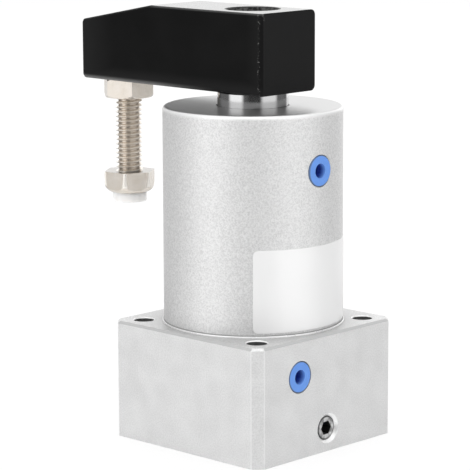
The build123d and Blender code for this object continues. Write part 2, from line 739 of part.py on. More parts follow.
# Lock nut, tight against the arm's underside, chamfered at both ends
nut_bottom = arm_bottom - nut_height
with BuildPart() as lock_nut:
    with BuildSketch(Plane.XY.offset(nut_bottom)):
        with Locations((0, bolt_reach)):
            RegularPolygon(bolt_flats / 2, 6, major_radius=False, rotation=nut_turn)
    extrude(amount=nut_height)
    with BuildSketch(Plane.YZ):
        with Locations((bolt_reach, nut_bottom)):
            Polygon(
                (0, 0),
                (bolt_flats / 2, 0),
                (hexagon_corner_radius, nut_chamfer_height),
                (hexagon_corner_radius, nut_height - nut_chamfer_height),
                (bolt_flats / 2, nut_height),
                (0, nut_height),
                align=None,
            )
    revolve(axis=Axis((0, bolt_reach, 0), (0, 0, 1)), mode=Mode.INTERSECT)
    with BuildSketch(Plane.XY.offset(nut_bottom)):
        with Locations((0, bolt_reach)):
            Circle(bolt_diameter / 2 + thread_clearance)
    extrude(amount=nut_height, mode=Mode.SUBTRACT)
lock_nut.part.label = "lock_nut"
export_step(lock_nut.part, "parts/lock_nut.step")

# Soft pad in the bolt's head, which presses on the work
with BuildPart() as bolt_pad:
    with BuildSketch(Plane.XY.offset(bolt_head_bottom - pad_height)):
        with Locations((0, bolt_reach)):
            Circle(pad_diameter / 2)
    extrude(amount=pad_height)
    fillet(bolt_pad.edges().sort_by(Axis.Z)[0], pad_edge_radius)
    with BuildSketch(Plane.XY.offset(bolt_head_bottom)):
        with Locations((0, bolt_reach)):
            Circle(pad_stem_diameter / 2)
    extrude(amount=pad_stem_length)
bolt_pad.part.label = "bolt_pad"
export_step(bolt_pad.part, "parts/bolt_pad.step")
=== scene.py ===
import math

import bmesh
import bpy
from mathutils import Matrix, Vector


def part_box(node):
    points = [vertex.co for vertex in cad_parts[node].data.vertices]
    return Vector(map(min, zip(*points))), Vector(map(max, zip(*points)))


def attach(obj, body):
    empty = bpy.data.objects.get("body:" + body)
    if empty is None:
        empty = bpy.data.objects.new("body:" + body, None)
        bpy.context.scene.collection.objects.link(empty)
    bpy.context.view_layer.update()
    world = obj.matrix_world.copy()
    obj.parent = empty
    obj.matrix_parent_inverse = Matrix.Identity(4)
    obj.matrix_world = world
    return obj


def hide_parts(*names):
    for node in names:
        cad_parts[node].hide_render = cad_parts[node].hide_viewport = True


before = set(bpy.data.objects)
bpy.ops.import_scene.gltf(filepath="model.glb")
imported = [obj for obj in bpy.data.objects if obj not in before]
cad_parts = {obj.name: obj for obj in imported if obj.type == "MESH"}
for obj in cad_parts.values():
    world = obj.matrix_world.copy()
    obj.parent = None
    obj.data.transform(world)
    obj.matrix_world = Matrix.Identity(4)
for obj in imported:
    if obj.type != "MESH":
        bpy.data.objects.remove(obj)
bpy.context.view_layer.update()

bpy.context.scene.view_settings.view_transform = "Standard"
MM = 0.001


# ---------------------------------------------------------------- node helpers
class Nodes:
    """One node tree, with short names for making and joining its nodes."""

    def __init__(self, tree):
        self.tree = tree

    def node(self, kind, **settings):
        made = self.tree.nodes.new(kind)
        for key, value in settings.items():
            setattr(made, key, value)
        return made

    def link(self, source, target):
        self.tree.links.new(source, target)

    def part(self, vector, axis):
        """One component of a vector."""
        made = self.node("ShaderNodeSeparateXYZ")
        self.link(vector, made.inputs["Vector"])
        return made.outputs[axis]

    def math(self, operation, first, second=0.0):
        """Result for one or two operands, each a number or an output."""
        made = self.node("ShaderNodeMath", operation=operation)
        for socket, value in zip(made.inputs, (first, second)):
            if isinstance(value, (int, float)):
                socket.default_value = value
            else:
                self.link(value, socket)
        return made.outputs["Value"]

    def add(self, first, second):
        return self.math("ADD", first, second)

    def times(self, first, second):
        return self.math("MULTIPLY", first, second)

    def largest(self, first, second):
        return self.math("MAXIMUM", first, second)

    def remainder(self, mask):
        """What a mask leaves of 1."""
        return self.math("SUBTRACT", 1.0, mask)

    def remap(self, value, low, high, to_low=0.0, to_high=1.0, smooth=False):
        """The value's range from low to high laid onto another range, and held at its ends."""
        made = self.node("ShaderNodeMapRange", interpolation_type="SMOOTHSTEP" if smooth else "LINEAR")
        ends = {"From Min": low, "From Max": high, "To Min": to_low, "To Max": to_high}
        for socket, number in ends.items():
            made.inputs[socket].default_value = number
        self.link(value, made.inputs["Value"])
        return made.outputs["Result"]

    def rise(self, value, start, end, most=1.0, smooth=False):
        """Mask that is empty up to start and has its most from end on."""
        return self.remap(value, start, end, 0.0, most, smooth)

    def fall(self, value, start, end, most=1.0, smooth=False):
        """Mask that has its most up to start and is empty from end on."""
        return self.remap(value, start, end, most, 0.0, smooth)


class Finish(Nodes):
    """A principled material, with the textures that the finishes below are made of."""

    def __init__(self, name, color, metallic=0.0, roughness=0.5, ior=1.5):
        self.material = bpy.data.materials.new(name)
        self.material.use_nodes = True
        super().__init__(self.material.node_tree)
        self.shader = self.tree.nodes["Principled BSDF"]
        self.set("Base Color", (*color, 1.0))
        self.set("Metallic", metallic)
        self.set("Roughness", roughness)
        self.set("IOR", ior)
        self.points = self.node("ShaderNodeTexCoord").outputs["Object"]

    def set(self, socket, value):
        self.shader.inputs[socket].default_value = value

    def color(self, source):
        self.link(source, self.shader.inputs["Base Color"])

    def metallic(self, source):
        self.link(source, self.shader.inputs["Metallic"])

    def roughness(self, source):
        self.link(source, self.shader.inputs["Roughness"])

    def stretched(self, scale):
        """The object's own coordinates, stretched."""
        mapping = self.node("ShaderNodeMapping")
        mapping.inputs["Scale"].default_value = scale
        self.link(self.points, mapping.inputs["Vector"])
        return mapping.outputs["Vector"]

    def noise(self, grain_mm, detail=2.0, rough=0.5, vector=None):
        """Noise with a grain of about that many millimetres."""
        made = self.node("ShaderNodeTexNoise")
        made.inputs["Scale"].default_value = 1 / (grain_mm * MM)
        made.inputs["Detail"].default_value = detail
        made.inputs["Roughness"].default_value = rough
        self.link(vector or self.points, made.inputs["Vector"])
        return made.outputs["Fac"]

    def mix(self, factor, first, second):
        """Colour between two colours, each a triple or an output."""
        made = self.node("ShaderNodeMix", data_type="RGBA")
        self.link(factor, made.inputs[0])
        for socket, value in ((made.inputs[6], first), (made.inputs[7], second)):
            if isinstance(value, tuple):
                socket.default_value = (*value, 1.0)
            else:
                self.link(value, socket)
        return made.outputs[2]

    def bump(self, height, depth_mm, strength=1.0, normal=None):
        """Relief of that depth, on the surface's own normal or on the given one."""
        made = self.node("ShaderNodeBump")
        made.inputs["Strength"].default_value = strength
        made.inputs["Distance"].default_value = depth_mm * MM
        self.link(height, made.inputs["Height"])
        if normal is not None:
            self.link(normal, made.inputs["Normal"])
        self.link(made.outputs["Normal"], self.shader.inputs["Normal"])

    def rounded(self, radius_mm):
        """A normal that rounds the edges by that radius."""
        made = self.node("ShaderNodeBevel", samples=6)
        made.inputs["Radius"].default_value = radius_mm * MM
        return made.outputs["Normal"]

    def coordinate(self, axis):
        return self.part(self.points, axis)

    def facing(self, axis):
        """The surface's own normal along an axis of the object."""
        return self.part(self.node("ShaderNodeTexCoord").outputs["Normal"], axis)

    def reach(self, centre, axes, points=None):
        """Distance from a line through the centre; axes are the two across the line."""
        flat = self.node("ShaderNodeCombineXYZ")
        place = [0.0, 0.0, 0.0]
        for axis, value in zip(axes, centre):
            self.link(self.part(points or self.points, axis), flat.inputs[axis])
            place["XYZ".index(axis)] = value
        away = self.node("ShaderNodeVectorMath", operation="DISTANCE")
        self.link(flat.outputs["Vector"], away.inputs[0])
        away.inputs[1].default_value = place
        return away.outputs["Value"]


# ---------------------------------------------------------------- colours and plain finishes
WHITE = (1.0, 1.0, 1.0)
OXIDE_BLACK = (0.0034, 0.0034, 0.0035)
OXIDE_REFLECTION = (0.0105, 0.0105, 0.0106)
OXIDE_LIT_END = (0.0118, 0.0118, 0.012)
OXIDE_RIM_HIGHLIGHT = (0.11, 0.11, 0.109)
OXIDE_SCUFF = (0.16, 0.16, 0.158)
BARE_STEEL = (0.4, 0.4, 0.39)
CHROME = (0.80, 0.80, 0.805)
NICKEL_MIDDLE = (0.86, 0.81, 0.74)
NICKEL_DARK = (0.82, 0.75, 0.66)
NICKEL_LIGHT = (0.89, 0.83, 0.765)
NICKEL_TOP = (0.4, 0.38, 0.355)
NICKEL_GROOVE_SHADE = (0.78, 0.7, 0.61)
NICKEL_CREST_HIGHLIGHT = (1.0, 0.96, 0.9)
NICKEL_CORNER_HIGHLIGHT = (0.95, 0.92, 0.87)
BLUE_FACE = (0.118, 0.275, 0.7)
BLUE_RIM_SHADE = (0.1, 0.17, 0.33)
BLUE_MOUTH_LIT = (0.22, 0.45, 0.95)
SOCKET_SHADE_DARK = (0.025, 0.06, 0.32)
SOCKET_SHADE_LIGHT = (0.05, 0.11, 0.45)


def grey(level):
    return (level, level, level)


def shades(color, low, high):
    return tuple(c * low for c in color), tuple(c * high for c in color)


def plain_metal(name, color, roughness, grain_mm=0.3, stretch=(1, 1, 1), spread=0.06):
    """One metal all over, with grain; the stretch draws the grain out across an axis."""
    finish = Finish(name, color, metallic=1.0, roughness=roughness)
    grain = finish.noise(grain_mm, vector=finish.stretched(stretch))
    finish.color(finish.mix(grain, *shades(color, 1 - spread, 1 + spread)))
    finish.roughness(finish.remap(grain, 0.3, 0.7, roughness * 0.85, roughness * 1.15))
    finish.bump(grain, 0.004, normal=finish.rounded(0.1))
    return finish.material


def plain_plastic(name, color, roughness, grain_mm=0.6, spread=0.05, **sockets):
    """One plastic or rubber all over; further sockets are given with _ for a space."""
    finish = Finish(name, color, roughness=roughness)
    for socket, value in sockets.items():
        finish.set(socket.replace("_", " "), value)
    grain = finish.noise(grain_mm)
    finish.color(finish.mix(grain, *shades(color, 1 - spread, 1 + spread)))
    finish.roughness(finish.remap(grain, 0.3, 0.7, roughness * 0.9, roughness * 1.1))
    finish.bump(grain, 0.006, normal=finish.rounded(0.1))
    return finish.material


# ---------------------------------------------------------------- places on the CAD that finishes follow
BASE_TOP = 24.75 * MM
BASE_HALF = 21.0 * MM
BASE_CORNER = 1.9 * MM
CHAMFER_FACING = 0.707
HOLE_PLACE = 16.2 * MM
HOLE_RADIUS = 2.1 * MM
RING_RADIUS = 19.05 * MM
SCREW_HEIGHT = 4.8 * MM
SCREW_FACE = -20.5 * MM
SCREW_RADIUS = 2.5 * MM
MOUTH_RADIUS = 3.18 * MM
MOUTH_DEPTH = 2 * MM
ARM_CUT = 0.7 * MM
BORE_RADIUS = 5.55 * MM
THREAD_RADIUS = 2.92 * MM
FLATS = 10 * MM
CORNER = FLATS / 2 / math.cos(math.radians(30))
HEAD_HEIGHT = 4.6 * MM
ROD_LINES = (1, 1, 30)
PLUG_DIAMETER_MM = 6.4
PLUG_RIM_SHARE = 3.1 / PLUG_DIAMETER_MM
PLUG_SOCKET_SHARE = 1.55 / PLUG_DIAMETER_MM
PLUG_LIT_SHARE = 0.4


# ---------------------------------------------------------------- finishes in view
# Lengths carry MM. A facing is the share of the surface's normal along an axis, 1 where it points straight
# along it. Noise lies around 0.5. Masks run from 0 to 1, and the later of two mixes covers the earlier one.
def base_finish():
    """Satin aluminium with turned foot ring and screw mouth; a top, chamfer and ring face painted darker as
    shade, painted shade in the holes, and painted highlights on the upright edges, hole rims, ring and
    mouth.
    """
    color = grey(0.82)
    metal = 0.45
    finish = Finish("base_satin", color, metallic=metal, roughness=0.45)
    fine = finish.noise(0.3, detail=3.0, rough=0.6)
    cloud = finish.noise(4.0, detail=3.0)
    tone = finish.add(finish.times(fine, 0.75), finish.times(cloud, 0.25))
    height = finish.coordinate("Z")
    facing_up = finish.facing("Z")
    axis_distance = finish.reach((0.0, 0.0), "XY")
    folded = finish.node("ShaderNodeVectorMath", operation="ABSOLUTE")
    finish.link(finish.points, folded.inputs[0])
    quarter = folded.outputs["Vector"]

    # Sides, and a top painted darker as shade
    sides = finish.mix(finish.remap(tone, 0.37, 0.63), *shades(color, 0.91, 1.06))
    top = finish.mix(finish.remap(tone, 0.4, 0.6), grey(0.48), grey(0.69))
    body = finish.mix(finish.rise(facing_up, 0.45, 0.95, most=0.8), sides, top)

    # Chamfer around the top painted darker as shade, but not across the cut corners
    off_chamfer = finish.math("ABSOLUTE", finish.math("SUBTRACT", facing_up, CHAMFER_FACING))
    toward_corner = finish.math("ABSOLUTE", finish.times(finish.facing("X"), finish.facing("Y")))
    on_chamfer = finish.math("LESS_THAN", off_chamfer, 0.1)
    on_chamfer = finish.times(on_chamfer, finish.fall(toward_corner, 0.05, 0.2, most=0.9))
    body = finish.mix(on_chamfer, body, grey(0.55))

    # Shade around the foot ring
    wide_shade = finish.fall(axis_distance, RING_RADIUS + 0.1 * MM, RING_RADIUS + 7.0 * MM)
    close_shade = finish.fall(axis_distance, RING_RADIUS + 0.15 * MM, RING_RADIUS + 1.0 * MM)
    shade = finish.largest(finish.times(wide_shade, 0.62), close_shade)
    body = finish.mix(finish.times(shade, finish.rise(facing_up, 0.5, 0.9)), body, grey(0.45))

    # Painted highlight on the upright edges of the cut corners
    first_edge = finish.reach((BASE_HALF - BASE_CORNER, BASE_HALF), "XY", quarter)
    second_edge = finish.reach((BASE_HALF, BASE_HALF - BASE_CORNER), "XY", quarter)
    nearest = finish.math("MINIMUM", first_edge, second_edge)
    edge_highlight = finish.fall(nearest, 0.05 * MM, 0.2 * MM, most=0.5)
    body = finish.mix(edge_highlight, body, WHITE)

    # Turned places: the set screw's mouth with a painted highlight, and the foot ring with a painted
    # highlight on its rounding and painted shade on its upper face
    screw_distance = finish.reach((0.0, SCREW_HEIGHT), "XZ")
    in_mouth = finish.fall(screw_distance, MOUTH_RADIUS - 0.04 * MM, MOUTH_RADIUS)
    in_front = finish.math("LESS_THAN", finish.coordinate("Y"), SCREW_FACE + MOUTH_DEPTH)
    in_mouth = finish.times(in_mouth, in_front)
    body = finish.mix(in_mouth, body, WHITE)
    on_ring = finish.rise(height, BASE_TOP + 0.08 * MM, BASE_TOP + 0.14 * MM)
    ring = finish.mix(finish.rise(facing_up, 0.88, 0.97), grey(0.94), grey(0.25))
    body = finish.mix(on_ring, body, ring)
    turned = finish.largest(on_ring, in_mouth)

    # Corner holes, with a painted highlight around each rim and painted shade in the holes, darkest near the
    # mouth
    hole_distance = finish.reach((HOLE_PLACE, HOLE_PLACE), "XY", quarter)
    at_rim = finish.fall(hole_distance, HOLE_RADIUS + 0.28 * MM, HOLE_RADIUS + 0.34 * MM, most=0.85)
    at_rim = finish.times(at_rim, finish.fall(facing_up, 0.8, 0.9))
    body = finish.mix(at_rim, body, WHITE)
    in_hole = finish.fall(hole_distance, HOLE_RADIUS, HOLE_RADIUS + 0.03 * MM)
    near_mouth = finish.rise(height, BASE_TOP - 0.7 * MM, BASE_TOP - 0.25 * MM)
    finish.color(finish.mix(in_hole, body, finish.mix(near_mouth, grey(0.42), grey(0.2))))

    finish.metallic(finish.largest(in_hole, metal))
    satin = finish.remap(cloud, 0.35, 0.65, 0.39, 0.46)
    finish.roughness(finish.math("SUBTRACT", satin, finish.times(turned, 0.12)))
    relief = finish.times(fine, finish.remainder(turned))
    finish.bump(relief, 0.007, strength=0.6, normal=finish.rounded(0.2))
    return finish.material


def barrel_finish(top):
    """Bead-blasted wall with a painted highlight on its upper edge and painted shade at its foot, and a
    smooth turned face on top.
    """
    color = grey(0.815)
    wall_metal, face_metal = 0.55, 0.92
    wall_roughness, face_roughness = 0.5, 0.34
    finish = Finish("barrel_blasted", color, metallic=wall_metal, roughness=wall_roughness)
    height = finish.coordinate("Z")
    grit = finish.noise(0.3, detail=4.0, rough=0.65)
    pits = finish.noise(0.6, detail=2.0)
    cloud = finish.noise(5.0, detail=2.0)
    speckle = finish.add(finish.times(grit, 0.7), finish.times(pits, 0.3))
    wall = finish.mix(finish.remap(speckle, 0.38, 0.6), *shades(color, 0.845, 1.085))
    wall = finish.mix(finish.rise(cloud, 0.3, 0.7, most=0.12), wall, grey(0.9))

    # Painted shade over the lowest few millimetres of the wall, and a darker painted contact shadow right at
    # the foot
    foot_shade = finish.fall(height, BASE_TOP + 0.3 * MM, BASE_TOP + 4.0 * MM, most=0.2)
    wall = finish.mix(foot_shade, wall, grey(0.45))
    foot_contact_shadow = finish.fall(height, BASE_TOP + 0.35 * MM, BASE_TOP + 0.6 * MM, most=0.8)
    wall = finish.mix(foot_contact_shadow, wall, grey(0.3))
    # Painted highlight on the rounded upper edge
    upper_edge_highlight = finish.rise(height, top - 1.1 * MM, top - 0.5 * MM, most=0.9)
    wall = finish.mix(upper_edge_highlight, wall, WHITE)
    on_top = finish.rise(height, top - 0.25 * MM, top - 0.06 * MM)
    finish.color(finish.mix(on_top, wall, grey(0.56)))

    finish.metallic(finish.remap(on_top, 0.0, 1.0, wall_metal, face_metal))
    finish.roughness(finish.remap(on_top, 0.0, 1.0, wall_roughness, face_roughness))
    finish.bump(finish.times(speckle, finish.remainder(upper_edge_highlight)), 0.07, strength=0.9)
    return finish.material


def arm_finish(low, high):
    """Black oxide with an end painted lighter as light, painted highlights on the rims and a painted
    reflection on the sides, worn specks at the cut corner and scuffs in the bore.
    """
    finish = Finish("arm_black_oxide", OXIDE_BLACK, roughness=0.3, ior=1.27)
    grain = finish.noise(0.35, detail=3.0)
    cloud = finish.noise(7.0, detail=2.0)
    height = finish.coordinate("Z")
    along = finish.coordinate("Y")
    facing_up = finish.facing("Z")
    on_side = finish.fall(facing_up, 0.5, 0.8)
    on_end = finish.fall(finish.facing("Y"), -0.95, -0.8)
    body = finish.mix(finish.remap(cloud, 0.3, 0.7), *shades(OXIDE_BLACK, 0.8, 1.25))

    # Sides with a painted reflection toward the tip, the cut corner and the lower edge, and the end painted
    # lighter as light
    by_tip = finish.rise(along, high.y - 10 * MM, high.y - 2 * MM)
    by_corner = finish.fall(along, low.y + 1 * MM, low.y + 4 * MM, most=0.5)
    by_bottom = finish.fall(height, low.z + 1.2 * MM, low.z + 3 * MM)
    painted_reflection = finish.largest(finish.largest(by_tip, by_corner), by_bottom)
    body = finish.mix(finish.times(painted_reflection, on_side), body, OXIDE_REFLECTION)
    body = finish.mix(on_end, body, OXIDE_LIT_END)

    # Painted highlights along the lower and upper rims
    low_rim = finish.fall(height, low.z + 0.25 * MM, low.z + 1.0 * MM, smooth=True)
    low_rim = finish.times(low_rim, finish.rise(along, 3 * MM, 21 * MM))
    top_rim = finish.rise(height, high.z - 0.55 * MM, high.z - 0.1 * MM, most=0.6, smooth=True)
    top_rim = finish.times(top_rim, finish.remainder(on_end))
    body = finish.mix(finish.times(finish.largest(low_rim, top_rim), on_side), body, OXIDE_RIM_HIGHLIGHT)

    # Bore over the rod
    axis_distance = finish.reach((0.0, 0.0), "XY")
    in_bore = finish.fall(axis_distance, BORE_RADIUS + 0.05 * MM, BORE_RADIUS + 0.3 * MM)
    scuffs = finish.remap(finish.noise(0.7, detail=2.0), 0.4, 0.62)
    bore_wall = finish.mix(scuffs, grey(0.03), OXIDE_SCUFF)
    body = finish.mix(finish.times(in_bore, on_side), body, bore_wall)

    # Specks along the cut corner's left edge, and at the upper end of its right edge, which is
    # counted as a millimetre farther off below that
    left_edge = finish.reach((low.x, low.y + ARM_CUT), "XY")
    right_edge = finish.reach((low.x + ARM_CUT, low.y), "XY")
    farther = finish.fall(height, high.z - 2.2 * MM, high.z - 1.5 * MM, most=MM)
    nearest = finish.math("MINIMUM", left_edge, finish.add(right_edge, farther))
    near_edge = finish.fall(nearest, 0.1 * MM, 0.4 * MM, smooth=True)
    chips = finish.remap(finish.noise(0.42, detail=4.0, rough=0.8), 0.57, 0.64)
    patches = finish.remap(finish.noise(1.7, detail=1.0), 0.46, 0.58, 0.15, 1.0)
    worn = finish.times(finish.times(near_edge, chips), patches)
    finish.color(finish.mix(worn, body, BARE_STEEL))

    on_top = finish.rise(facing_up, 0.9, 0.97)
    satin = finish.remap(grain, 0.3, 0.7, 0.28, 0.36)
    finish.roughness(finish.math("SUBTRACT", satin, finish.times(on_top, 0.2)))
    finish.metallic(on_top)
    finish.bump(grain, 0.008, strength=0.5, normal=finish.rounded(0.14))
    return finish.material


def rod_finish():
    """Hard chrome, ground around the rod."""
    finish = Finish("rod_hard_chrome", CHROME, metallic=1.0, roughness=0.13)
    lines = finish.noise(1.2, detail=2.0, vector=finish.stretched(ROD_LINES))
    finish.color(finish.mix(lines, *shades(CHROME, 0.96, 1.03)))
    finish.roughness(finish.remap(lines, 0.3, 0.7, 0.08, 0.13))
    finish.bump(lines, 0.001, strength=0.5)
    return finish.material


def nickel_finish(axis, head_top):
    """Warm nickel plate, duller on the thread, with painted shade in the thread's grooves and painted
    highlights on its crests and on the corners of the bolt's head.
    """
    metal, corner_metal = 0.85, 0.1
    finish = Finish("nickel_plate", NICKEL_MIDDLE, metallic=metal, roughness=0.24)
    fine = finish.noise(0.35, detail=3.0)
    cloud = finish.noise(2.5, detail=2.0)
    height = finish.coordinate("Z")
    from_axis = finish.reach(axis, "XY")
    plate = finish.mix(finish.remap(cloud, 0.3, 0.7), NICKEL_DARK, NICKEL_LIGHT)
    plate = finish.mix(finish.rise(finish.facing("Z"), 0.9, 0.97), plate, NICKEL_TOP)

    # Painted highlight on the corners of the head, a line that widens downward
    widening = finish.fall(height, head_top - 3.6 * MM, head_top - MM, most=0.13 * MM)
    at_corner = finish.add(from_axis, widening)
    at_corner = finish.rise(at_corner, CORNER - 0.26 * MM, CORNER - 0.12 * MM, most=0.8)
    at_corner = finish.times(at_corner, finish.math("LESS_THAN", height, head_top))
    plate = finish.mix(at_corner, plate, NICKEL_CORNER_HIGHLIGHT)

    # Thread, painted darker in the grooves as shade and lighter on the crests as highlight
    to_crest = finish.rise(from_axis, THREAD_RADIUS - 0.6 * MM, THREAD_RADIUS - 0.08 * MM)
    thread_shade_and_highlight = finish.mix(to_crest, NICKEL_GROOVE_SHADE, NICKEL_CREST_HIGHLIGHT)
    on_thread = finish.fall(from_axis, THREAD_RADIUS, THREAD_RADIUS + 0.03 * MM)
    finish.color(finish.mix(on_thread, plate, thread_shade_and_highlight))

    finish.metallic(finish.remap(at_corner, 0.0, 1.0, metal, corner_metal))
    satin = finish.remap(fine, 0.3, 0.7, 0.2, 0.26)
    finish.roughness(finish.add(satin, finish.times(on_thread, 0.07)))
    finish.bump(cloud, 0.012, strength=0.5)
    return finish.material


def screw_finish():
    """Mottled zinc face with a line of painted shade around it, and painted shade in the socket behind it.
    """
    finish = Finish("set_screw_zinc", grey(0.9), metallic=0.5, roughness=0.3)
    grain = finish.noise(1.1, detail=1.0)
    from_axis = finish.reach((0.0, SCREW_HEIGHT), "XZ")
    face = finish.mix(finish.remap(grain, 0.4, 0.6), grey(0.3), grey(0.74))
    # Painted shade line around the rim of the face
    at_rim = finish.rise(from_axis, SCREW_RADIUS - 0.4 * MM, SCREW_RADIUS - 0.2 * MM, most=0.85)
    face = finish.mix(at_rim, face, grey(0.1))
    # Painted shade in the socket
    deep = finish.rise(finish.coordinate("Y"), SCREW_FACE + 0.03 * MM, SCREW_FACE + 0.12 * MM)
    finish.color(finish.mix(deep, face, grey(0.03)))
    finish.roughness(finish.remap(grain, 0.3, 0.7, 0.28, 0.36))
    finish.bump(grain, 0.02, strength=0.6)
    return finish.material


def plug_finish():
    """Blue moulded plastic with painted shade on its rim and in its socket, and painted light at the
    socket's mouth.
    """
    finish = Finish("blue_plug", BLUE_FACE, roughness=0.34)
    grain = finish.noise(0.9)
    box_share = finish.node("ShaderNodeTexCoord").outputs["Generated"]
    from_axis = finish.reach((0.5, 0.5), "XZ", box_share)
    # Painted shade in the socket, with painted light near its mouth
    marks = finish.remap(finish.noise(0.5, detail=2.0), 0.45, 0.6)
    painted_socket = finish.mix(marks, SOCKET_SHADE_DARK, SOCKET_SHADE_LIGHT)
    near_mouth = finish.fall(finish.part(box_share, "Y"), 0.0, PLUG_LIT_SHARE, smooth=True)
    painted_socket = finish.mix(near_mouth, painted_socket, BLUE_MOUTH_LIT)
    in_socket = finish.fall(from_axis, PLUG_SOCKET_SHARE, PLUG_SOCKET_SHARE + 0.01)
    body = finish.mix(in_socket, finish.mix(grain, *shades(BLUE_FACE, 0.95, 1.06)), painted_socket)
    # Painted shade on the rim
    on_rim = finish.rise(from_axis, PLUG_RIM_SHARE - 0.02, PLUG_RIM_SHARE, smooth=True)
    finish.color(finish.mix(on_rim, body, BLUE_RIM_SHADE))
    finish.roughness(finish.remap(grain, 0.3, 0.7, 0.3, 0.38))
    finish.bump(grain, 0.004)
    return finish.material


def label_finish():
    """Blank white film with a slight sheen."""
    color = grey(0.825)
    finish = Finish("label_film", color, metallic=0.15, roughness=0.33, ior=1.6)
    ripple = finish.noise(6.0, detail=1.0)
    finish.color(finish.mix(ripple, *shades(color, 0.985, 1.01)))
    finish.roughness(finish.remap(ripple, 0.3, 0.7, 0.3, 0.36))
    finish.bump(ripple, 0.01, strength=0.3)
    return finish.material


# ---------------------------------------------------------------- one finish for each CAD node
barrel_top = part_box("barrel")[1].z
arm_low, arm_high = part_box("clamp_arm")
pad_low, pad_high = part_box("bolt_pad")
nut_low, nut_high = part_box("lock_nut")
bolt_low, bolt_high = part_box("clamp_bolt")
bolt_axis = ((pad_low.x + pad_high.x) / 2, (pad_low.y + pad_high.y) / 2)
head_low = bolt_low.z
head_high = head_low + HEAD_HEIGHT

GROUND_LINES = (1, 1, 20)
TURNED_LINES = (1, 1, 25)
NYLON = {"Subsurface_Weight": 0.8, "Subsurface_Radius": (1.0, 0.95, 0.9), "Subsurface_Scale": 3 * MM}
NICKEL = nickel_finish(bolt_axis, head_high)
BLUE = plug_finish()
RUBBER = plain_plastic("nitrile_rubber", (0.02, 0.02, 0.021), 0.55, grain_mm=0.4, spread=0.2)
AMBER = plain_plastic("amber_urethane", (0.42, 0.2, 0.06), 0.4, grain_mm=0.8, spread=0.08)

FINISHES = {
    "base_block": base_finish(),
    "barrel": barrel_finish(barrel_top),
    "clamp_arm": arm_finish(arm_low, arm_high),
    "piston_rod": rod_finish(),
    "label": label_finish(),
    "clamp_bolt": NICKEL,
    "lock_nut": NICKEL,
    "port_plug_lower": BLUE,
    "port_plug_upper": BLUE,
    "bolt_pad": plain_plastic("pad_nylon", (0.89, 0.87, 0.85), 0.4, grain_mm=0.8, spread=0.02, **NYLON),
    "set_screw": screw_finish(),
    "guide_shaft": plain_metal("ground_steel", (0.58, 0.58, 0.59), 0.25, grain_mm=0.8, stretch=GROUND_LINES),
    "ball_collar": plain_metal("collar_steel", (0.55, 0.55, 0.56), 0.28, grain_mm=0.8, stretch=GROUND_LINES),
    "guide_balls": plain_metal("ball_steel", (0.62, 0.62, 0.63), 0.1, grain_mm=1.0, spread=0.02),
    "retaining_ring": plain_metal("spring_steel", (0.12, 0.115, 0.11), 0.45, grain_mm=0.2),
    "gland_ring": plain_metal("gland_ring_steel", (0.14, 0.135, 0.13), 0.45, grain_mm=0.2),
    "rod_bush": plain_metal("sintered_bronze", (0.56, 0.38, 0.17), 0.45, grain_mm=0.15, spread=0.15),
    "piston": plain_metal("turned_aluminium", grey(0.72), 0.35, grain_mm=1.0, stretch=TURNED_LINES),
    "arm_washer": plain_metal("washer_black_oxide", (0.06, 0.06, 0.062), 0.4, spread=0.2),
    "arm_screw": plain_metal("screw_black_oxide", (0.07, 0.07, 0.072), 0.35, spread=0.2),
    "wear_ring": plain_plastic("filled_resin", (0.28, 0.19, 0.11), 0.5, grain_mm=0.3, spread=0.15),
    "lower_bumper": AMBER,
    "upper_bumper": AMBER,
    "body_seal": RUBBER,
    "shaft_seal": RUBBER,
    "rod_seal": RUBBER,
    "rod_wiper": RUBBER,
    "piston_seals": RUBBER,
    "neck_seal": RUBBER,
}


def dress(obj, finish):
    obj.data.materials.clear()
    obj.data.materials.append(finish)


for node_name, node_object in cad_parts.items():
    dress(node_object, FINISHES[node_name])


# ---------------------------------------------------------------- mesh helpers
SMALLEST_RADIUS = 1e-9
SAME_PLACE = 1e-7
FINE_SEGMENTS = 128
HOLE_SEGMENTS = 96
THREAD_SEGMENTS = 72
THREAD_DEPTH_SHARE = 0.66
FLAT_ANGLE = 28
THREAD_FLAT_ANGLE = 40


def mesh_object(name, mesh_builder):
    mesh = bpy.data.meshes.new(name)
    mesh_builder.to_mesh(mesh)
    mesh_builder.free()
    obj = bpy.data.objects.new(name, mesh)
    bpy.context.scene.collection.objects.link(obj)
    return obj


def settle(obj, *helpers):
    """Applies the modifiers, and removes the helper objects that they used."""
    graph = bpy.context.evaluated_depsgraph_get()
    mesh = bpy.data.meshes.new_from_object(obj.evaluated_get(graph))
    obj.modifiers.clear()
    obj.data = mesh
    for helper in helpers:
        bpy.data.objects.remove(helper)


def vertex(bm, centre, radius, angle, z):
    """A vertex at that radius and angle around the upright axis through centre."""
    return bm.verts.new((centre[0] + radius * math.cos(angle), centre[1] + radius * math.sin(angle), z))


def lathe(name, profile, centre, segments=FINE_SEGMENTS):
    """Closed solid of revolution around the upright axis through centre; the profile is (radius, z)."""
    bm = bmesh.new()
    rings = []
    for radius, z in profile:
        count = 1 if radius < SMALLEST_RADIUS else segments
        rings.append([vertex(bm, centre, radius, 2 * math.pi * k / segments, z) for k in range(count)])
    for lower, upper in zip(rings, rings[1:]):
        for k in range(segments):
            n = (k + 1) % segments
            corners = (
                lower[k % len(lower)], lower[n % len(lower)], upper[n % len(upper)], upper[k % len(upper)],
            )
            bm.faces.new(dict.fromkeys(corners))
    bmesh.ops.recalc_face_normals(bm, faces=bm.faces)
    return mesh_object(name, bm)


